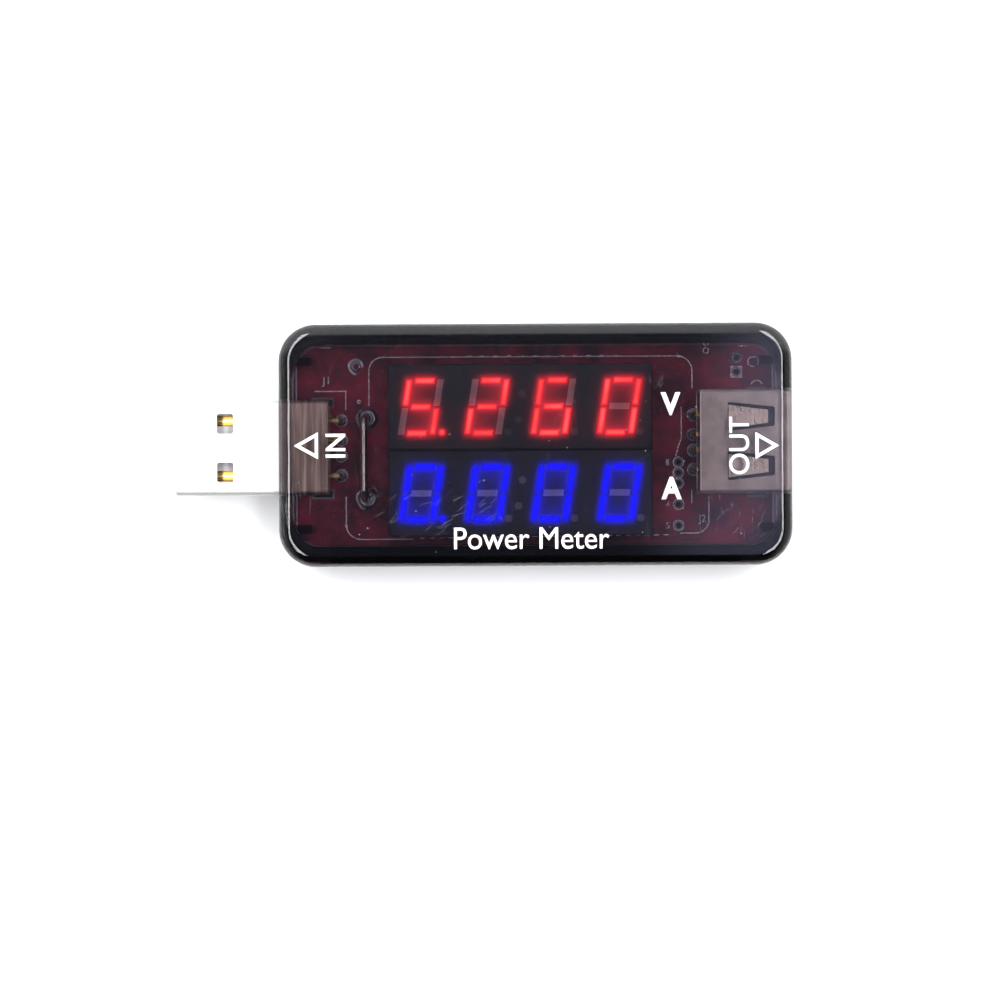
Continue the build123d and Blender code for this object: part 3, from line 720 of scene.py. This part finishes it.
def grown(loop, width):
    """A counter-clockwise loop pushed outward by a width, or inward by a negative one."""
    pushed = []
    for before, here, after in zip(loop[-1:] + loop[:-1], loop, loop[1:] + loop[:1]):
        into = (Vector(here) - Vector(before)).normalized()
        out = (Vector(after) - Vector(here)).normalized()
        along = (into + out).normalized()
        reach = width / max(along.dot(into), 0.5)
        pushed.append(tuple(Vector(here) + Vector((along.y, -along.x)) * reach))
    return pushed


def counter_clockwise(loop):
    """The loop, turned round if it runs clockwise."""
    area = sum(a[0] * b[1] - b[0] * a[1] for a, b in zip(loop, loop[1:] + loop[:1]))
    return loop if area > 0 else loop[::-1]


def span_of(loop):
    """A loop's width along X."""
    return max(p[0] for p in loop) - min(p[0] for p in loop)


board_rims = sorted((counter_clockwise(loop) for loop in rim_loops("circuit_board")), key=span_of)
holes, board_edge = board_rims[:-1], board_rims[-1]
bm = bmesh.new()
for loop in holes:
    raise_plate(bm, grown(loop, PAD_WIDTH), grown(loop, 0.01 * MM), pad_low, pad_high)
finish_piece(bm, "board_pads", pad_solder)

COLLARS = {
    # what it is round: inner radius, outer radius, height (mm), lumpiness
    "wire": (0.62, 1.42, 0.35, 0.10),
    "pin": (0.33, 0.86, 0.4, 0.08),
    "test_pad": (0.42, 0.90, 0.30, 0.34),
}
TEST_PAD = (-16.25 * MM, 10.27 * MM)
WIRE_RADIUS = 0.5 * MM


def collar(bm, x, y, kind, seed):
    """A ring of solder that climbs from a pad to what is in its middle."""
    inner, outer, height = (size * MM for size in COLLARS[kind][:3])
    lump = COLLARS[kind][3]
    dice = random.Random(seed)
    around, up = 28, 5
    waves = [1 + lump * dice.uniform(-1, 1) for _ in range(7)]
    rings = []
    for level in range(up + 1):
        share = level / up
        radius = outer + (inner - outer) * share
        z = board_top + height * share**2
        ring = []
        for i in range(around):
            turn = i / around * len(waves)
            k = int(turn)
            soft = (1 - math.cos(math.pi * (turn - k))) / 2
            wobble = waves[k % len(waves)] * (1 - soft) + waves[(k + 1) % len(waves)] * soft
            reach = radius * (1 + (wobble - 1) * (1 - share))
            angle = math.tau * i / around
            ring.append(bm.verts.new((x + reach * math.cos(angle), y + reach * math.sin(angle), z)))
        rings.append(ring)
    base = [bm.verts.new((v.co.x, v.co.y, pad_low)) for v in rings[0]]
    well = [bm.verts.new((v.co.x, v.co.y, pad_low)) for v in rings[-1]]
    levels = [well, base, *rings]
    for low, high in zip(levels, levels[1:] + levels[:1]):
        for i in range(around):
            j = (i + 1) % around
            bm.faces.new((low[i], low[j], high[j], high[i]))


wire_x = (wire_low.x + wire_high.x) / 2
bm = bmesh.new()
for end_y in (wire_high.y - WIRE_RADIUS, wire_low.y + WIRE_RADIUS):
    collar(bm, wire_x, end_y, "wire", seed=int(end_y * 1e6))
for loop in holes:
    spot = middle_of(loop)
    by_plug = spot.x < wire_low.x - 1 * MM
    by_socket = socket_low.x - 1.5 * MM < spot.x < socket_low.x + 0.5 * MM
    if span_of(loop) < PIN_HOLE_SPAN and (by_plug or by_socket):
        collar(bm, spot.x, spot.y, "pin", seed=int(spot.y * 1e6))
collar(bm, *TEST_PAD, "test_pad", seed=5)
finish_piece(bm, "board_solder", solder, smooth=True)

# painted highlight: a pale band along the board's outline, for the light caught by its edge
bm = bmesh.new()
raise_plate(bm, board_edge, grown(board_edge, -EDGE_HIGHLIGHT_WIDTH), pad_low, pad_low + EDGE_HIGHLIGHT_HEIGHT)
finish_piece(bm, "board_edge", edge_highlight_ink)


def dashes(points, gap, run):
    """Cuts a path into short dashes, in the path's own units."""
    found = []
    for start, end in zip(points, points[1:]):
        start, end = Vector(start), Vector(end)
        length = (end - start).length
        step = run + gap
        for i in range(int(length / step)):
            first = start.lerp(end, i * step / length)
            found.append([tuple(first), tuple(start.lerp(end, (i * step + run) / length))])
    return found


SILK_PATHS = (
    # the frame printed round the displays: its upper left, top and upper right
    [(-14.62, 5.2), (-14.62, 9.2), *arc(-12.9, 9.7, 1.73, 180, 90, 6), (-3.0, 11.43), (14.0, 11.43)],
    [(14.0, 11.43), (24.9, 11.43), *arc(24.9, 9.53, 1.9, 90, 0, 6), (26.8, 7.3)],
    # its lower left
    [(-17.6, -6.4), (-17.6, -10.0), *arc(-15.7, -10.0, 1.9, 180, 270, 6), (-9.0, -11.9)],
    # the bracket round the plug's tabs
    [(-21.6, 7.1), (-17.6, 7.1), (-17.6, 4.7)],
    # a trace's edge beside the right end of the displays
    [(25.4, 4.9), (25.4, 0.9), (25.0, -0.2), (24.7, -1.4)],
    # the outline near the socket's corner
    [(28.9, -6.6), (28.9, -8.6), *arc(27.2, -9.6, 1.7, 10, -80, 5), (25.2, -11.3)],
    [(26.7, -5.8), (26.7, -7.5)],
    # the square round the header's second hole, the mark round a rib and the arc over the socket
    [(31.8, 8.67), (33.16, 8.67), (33.16, 10.03), (31.8, 10.03), (31.8, 8.75)],
    [(35.0, 11.25), (34.35, 11.25), (34.0, 10.9), (34.0, 10.35), (34.35, 10.05), (34.9, 10.05)],
    arc(35.1, 7.5, 0.75, 20, 165, 7),
)
SILK_DASHES = (
    # ends (mm), gap, run
    ([(-8.2, -11.9), (24.6, -11.6)], 0.5, 0.7),
    ([(-2.0, 11.43), (20.0, 11.43)], 1.2, 0.5),
)
DASH_SHIFT = 0.12 * MM
SILK_RINGS = ((28.6, 12.1, 0.42), (-15.9, 5.75, 0.26), (32.48, 11.24, 0.7))
bm = bmesh.new()
for path in SILK_PATHS:
    raise_line(bm, [(x * MM, y * MM) for x, y in path], SILK_WIDTH, pad_low, pad_high)
for ends, gap, run in SILK_DASHES:
    for path in dashes(ends, gap, run):
        line = [(x * MM, y * MM + DASH_SHIFT) for x, y in path]
        raise_line(bm, line, SILK_WIDTH * 0.8, pad_low, pad_high)
for x, y, radius in SILK_RINGS:
    outer, inner = (circle(x * MM, y * MM, reach) for reach in (radius * MM, radius * MM - SILK_WIDTH))
    raise_plate(bm, outer, inner, pad_low, pad_high)
for loop in holes:
    if span_of(loop) < PIN_HOLE_SPAN:
        raise_plate(bm, grown(loop, PAD_WIDTH + PAD_RING), grown(loop, PAD_WIDTH), pad_low, pad_high)
finish_piece(bm, "board_printing", board_ink)

# ================================================================ printing on the lid
INK_THICKNESS = 0.02 * MM
ink_low, ink_high = lid_top - 0.002 * MM, lid_top + INK_THICKNESS


def letters(text, centre, height, width, levels, bold=0.0, turned=False):
    """A printed word, fitted to a height and width, between two levels. Its height is a capital's."""
    low, high = levels
    curve = bpy.data.curves.new("letters", "FONT")
    curve.body = text
    curve.offset = bold
    maker = bpy.data.objects.new("letters", curve)
    scene.collection.objects.link(maker)
    bpy.context.view_layer.update()
    mesh = bpy.data.meshes.new_from_object(maker.evaluated_get(bpy.context.evaluated_depsgraph_get()))
    bpy.data.objects.remove(maker)
    bm = bmesh.new()
    bm.from_mesh(mesh)
    bmesh.ops.remove_doubles(bm, verts=bm.verts, dist=1e-5)
    xs, ys = [v.co.x for v in bm.verts], [v.co.y for v in bm.verts]
    fit = Matrix.Translation((-(min(xs) + max(xs)) / 2, -max(ys) / 2, 0))
    fit = Matrix.Diagonal((width / (max(xs) - min(xs)), height / max(ys), 1, 1)) @ fit
    turn = Matrix.Rotation(math.pi / 2 if turned else 0, 4, "Z")
    bmesh.ops.transform(bm, matrix=Matrix.Translation((*centre, low)) @ turn @ fit, verts=bm.verts)
    for face in bm.faces:
        if face.normal.z < 0:
            face.normal_flip()
    lifted = bmesh.ops.extrude_face_region(bm, geom=bm.faces[:])["geom"]
    raised = [v for v in lifted if isinstance(v, bmesh.types.BMVert)]
    bmesh.ops.translate(bm, verts=raised, vec=(0, 0, high - low))
    bmesh.ops.recalc_face_normals(bm, faces=bm.faces)
    return mesh_from(bm, text)


LETTERING = (
    # piece name, words, centre (mm), height, width (mm), extra boldness, turned
    ("print_volts", "V", (23.48, 5.06), 2.72, 2.45, 0.035, False),
    ("print_amps", "A", (23.56, -5.49), 2.68, 2.58, 0.035, False),
    ("print_in", "IN", (-18.43, -0.05), 2.42, 2.99, 0.012, True),
    ("print_out", "OUT", (32.0, -0.28), 2.46, 7.2, 0.006, True),
    ("print_legend", "Power Meter", (6.05, -11.7), 2.68, 19.4, 0.0, False),
)
for name, words, centre, height, width, bold, turned in LETTERING:
    spot = (centre[0] * MM, centre[1] * MM)
    mesh = letters(words, spot, height * MM, width * MM, (ink_low, ink_high), bold, turned)
    add_piece(name, mesh, white_ink)

BOARD_LABELS = (
    # piece name, words, centre (mm), height, width (mm)
    ("label_plug", "J1", (-20.2, 8.5), 0.95, 0.95),
    ("label_pad_1", "1", (23.6, -2.2), 0.8, 0.4),
    ("label_pad_4", "4", (23.6, -7.6), 0.8, 0.55),
    ("label_pad_5", "5", (23.6, -10.3), 0.8, 0.5),
    ("label_socket", "J2", (28.0, -9.4), 0.95, 0.95),
)
for name, words, centre, height, width in BOARD_LABELS:
    spot = (centre[0] * MM, centre[1] * MM)
    mesh = letters(words, spot, height * MM, width * MM, (pad_low, pad_high), 0.01)
    add_piece(name, mesh, board_ink)

ARROW_LINE = 0.38 * MM


def arrow(name, tip, base_x, half):
    """An outlined triangle that points along X."""
    ends = (tip, (base_x, tip[1] + half), (base_x, tip[1] - half))
    corners = [Vector(end) * MM for end in ends]
    middle = sum(corners, Vector((0, 0))) / 3
    side = (corners[1] - corners[0]).normalized()
    inner_radius = abs(side.cross(middle - corners[0]))
    shrink = 1 - ARROW_LINE / inner_radius
    outline = [tuple(c) for c in corners]
    hole = [tuple(middle + (c - middle) * shrink) for c in corners]
    bm = bmesh.new()
    raise_plate(bm, outline, hole, ink_low, ink_high)
    finish_piece(bm, name, white_ink)


arrow("print_in_arrow", (-23.6, -0.03), -20.6, 1.68)
arrow("print_out_arrow", (37.0, -0.28), 34.08, 1.68)

# ================================================================ handling marks and dust on the lid
HAIRLINES = (
    # middle of the patch (mm), its half sizes (mm), direction and spread (degrees), how many, length (mm)
    ((-23.4, -7.6), (1.8, 4.2), 92, 10, 16, 2.6),
    ((-7.0, -9.4), (8.0, 2.6), 36, 10, 26, 1.9),
    ((21.6, 7.4), (1.2, 0.5), 48, 5, 5, 1.4),
    ((31.0, -9.4), (4.0, 2.8), 70, 40, 26, 1.2),
    ((2.0, 0.0), (24.0, 10.0), 80, 60, 14, 1.1),
)
HAIR_WIDTH, HAIR_HEIGHT = 0.026 * MM, 0.004 * MM
HAIR_BEND = 0.12
HAIR_RUNS = 4
dice = random.Random(11)
bm = bmesh.new()
for middle, size, direction, spread, count, length in HAIRLINES:
    for _ in range(count):
        x = middle[0] + size[0] * dice.uniform(-1, 1)
        y = middle[1] + size[1] * dice.uniform(-1, 1)
        angle = math.radians(direction + spread * dice.uniform(-1, 1))
        reach = length * dice.uniform(0.4, 1.0)
        bend = HAIR_BEND * dice.uniform(-1, 1)
        path = []
        for step in range(HAIR_RUNS + 1):
            path.append((x * MM, y * MM))
            x += reach / HAIR_RUNS * math.cos(angle + bend * step)
            y += reach / HAIR_RUNS * math.sin(angle + bend * step)
        raise_line(bm, path, HAIR_WIDTH * dice.uniform(0.6, 1.1), ink_low, lid_top + HAIR_HEIGHT)
finish_piece(bm, "lid_hairlines", scuffed)

SPECKS, SPECK_RADIUS, SPECK_HEIGHT, SPECK_SIDES = 40, 0.04 * MM, 0.015 * MM, 7
EDGE_CLEAR = 1.5 * MM
lid_middle = (case_low + case_high) / 2
lid_half_x = (case_high.x - case_low.x) / 2 - EDGE_CLEAR
lid_half_y = (case_high.y - case_low.y) / 2 - EDGE_CLEAR
bm = bmesh.new()
for _ in range(SPECKS):
    x = lid_middle.x + lid_half_x * dice.uniform(-1, 1)
    y = lid_middle.y + lid_half_y * dice.uniform(-1, 1)
    round_speck = circle(x, y, SPECK_RADIUS * dice.uniform(0.5, 1.2), SPECK_SIDES)
    speck = [(px, py + dice.uniform(-1, 1) * SPECK_RADIUS / 3) for px, py in round_speck]
    raise_plate(bm, speck, None, ink_low, lid_top + SPECK_HEIGHT)
finish_piece(bm, "lid_dust", dust_white)

# ================================================================ light, camera, floor
ROOM_COLOUR, OVERHEAD_COLOUR = rgb(0.93, 0.96, 1.0), rgb(0.62, 0.66, 1.0)
NORTH_LEVEL = 2.2
SOUTH_LEVEL = 0.04
SIDE_LEVEL = 0.9
OVERHEAD_LEVEL = 0.20
HAZE_LEVEL = 1.2
EDGE_HAZE_LEVEL = 1.6


def studio_light():
    """A room pale on its +Y side, dark on its -Y side, bright low down at both ends, with a glare over +X."""
    world = bpy.data.worlds.new("room")
    scene.world = world
    world.use_nodes = True
    tree = world.node_tree
    tree.nodes.clear()

    def step(value, low, high, start, end):
        """A smooth step of value from low..high to start..end."""
        made = tree.nodes.new("ShaderNodeMapRange")
        made.interpolation_type = "SMOOTHSTEP"
        for socket, number in zip(made.inputs[1:5], (low, high, start, end)):
            socket.default_value = number
        tree.links.new(value, made.inputs[0])
        return made.outputs[0]

    def math_of(operation, *values):
        """Joins values by a sum, product or larger-of."""
        made = tree.nodes.new("ShaderNodeMath")
        made.operation = operation
        for value, socket in zip(values, made.inputs):
            tree.links.new(value, socket)
        return made.outputs[0]

    split = tree.nodes.new("ShaderNodeSeparateXYZ")
    tree.links.new(tree.nodes.new("ShaderNodeTexCoord").outputs["Generated"], split.inputs[0])
    x, y, z = split.outputs
    north = step(y, 0.02, 0.45, SOUTH_LEVEL, NORTH_LEVEL)
    ends = step(math_of("ABSOLUTE", x), 0.35, 0.95, 0.0, SIDE_LEVEL)
    haze = math_of("MULTIPLY", step(x, 0.04, 0.11, 0.0, 1.0), step(y, -0.02, 0.03, 1.0, 0.0))
    edge = math_of("MULTIPLY", step(x, 0.075, 0.135, 0.0, EDGE_HAZE_LEVEL), step(y, -0.02, 0.03, 0.0, 1.0))
    glare = math_of("ADD", step(haze, 0.0, 1.0, OVERHEAD_LEVEL, HAZE_LEVEL), edge)
    overhead = math_of("MULTIPLY", step(z, 0.93, 0.985, 0.0, 1.0), glare)
    layers = []
    for colour, level in ((ROOM_COLOUR, math_of("MAXIMUM", north, ends)), (OVERHEAD_COLOUR, overhead)):
        layer = tree.nodes.new("ShaderNodeBackground")
        layer.inputs["Color"].default_value = colour
        tree.links.new(level, layer.inputs["Strength"])
        layers.append(layer.outputs[0])
    both = tree.nodes.new("ShaderNodeAddShader")
    for layer, socket in zip(layers, both.inputs):
        tree.links.new(layer, socket)
    tree.links.new(both.outputs[0], tree.nodes.new("ShaderNodeOutputWorld").inputs["Surface"])


SOFTBOX_PLACES = {"left_softbox": (-0.190, 0.09, 0.60), "right_softbox": (0.208, 0.09, 0.60)}
SOFTBOX_SIZE = (0.62, 0.12)
SOFTBOX_POWER = 3.2


def softbox(name, place):
    """A rectangular light tilted in X only, so that its first side lies along Y."""
    light = bpy.data.lights.new(name, "AREA")
    light.shape = "RECTANGLE"
    light.size, light.size_y = SOFTBOX_SIZE
    light.energy = SOFTBOX_POWER
    holder = bpy.data.objects.new(name, light)
    holder.location = place
    holder.rotation_euler = Vector((-place[0], 0, -place[2])).to_track_quat("-Z", "Y").to_euler()
    scene.collection.objects.link(holder)


CAMERA_HEIGHT = 300 * MM
CAMERA_SPOT = (2.114 * MM, -6.93 * MM)
FRAME_WIDTH = 130.5 * MM
CAMERA_ROLL = math.radians(-0.3)


def camera_above():
    """Straight above, so near that the plug, the board and the lid differ in scale."""
    lens = bpy.data.cameras.new("camera")
    lens.sensor_width = 36
    lens.lens = lens.sensor_width * CAMERA_HEIGHT / FRAME_WIDTH
    lens.clip_start = 10 * MM
    holder = bpy.data.objects.new("camera", lens)
    holder.location = (*CAMERA_SPOT, CAMERA_HEIGHT)
    holder.rotation_euler = (0, 0, CAMERA_ROLL)
    scene.collection.objects.link(holder)
    scene.camera = holder


FLOOR_HALF = 2.0
FLOOR_CLEAR = 0.02 * MM


def floor():
    """A wide sheet, just under the meter."""
    corners = ((-1, -1), (1, -1), (1, 1), (-1, 1))
    bm = bmesh.new()
    bm.faces.new([bm.verts.new((x * FLOOR_HALF, y * FLOOR_HALF, 0)) for x, y in corners])
    sheet = bpy.data.objects.new("floor", mesh_from(bm, "floor"))
    sheet.location.z = -FLOOR_CLEAR
    sheet.data.materials.append(floor_paper())
    scene.collection.objects.link(sheet)


scene.view_settings.view_transform = "Standard"
studio_light()
for name, place in SOFTBOX_PLACES.items():
    softbox(name, place)
camera_above()
floor()
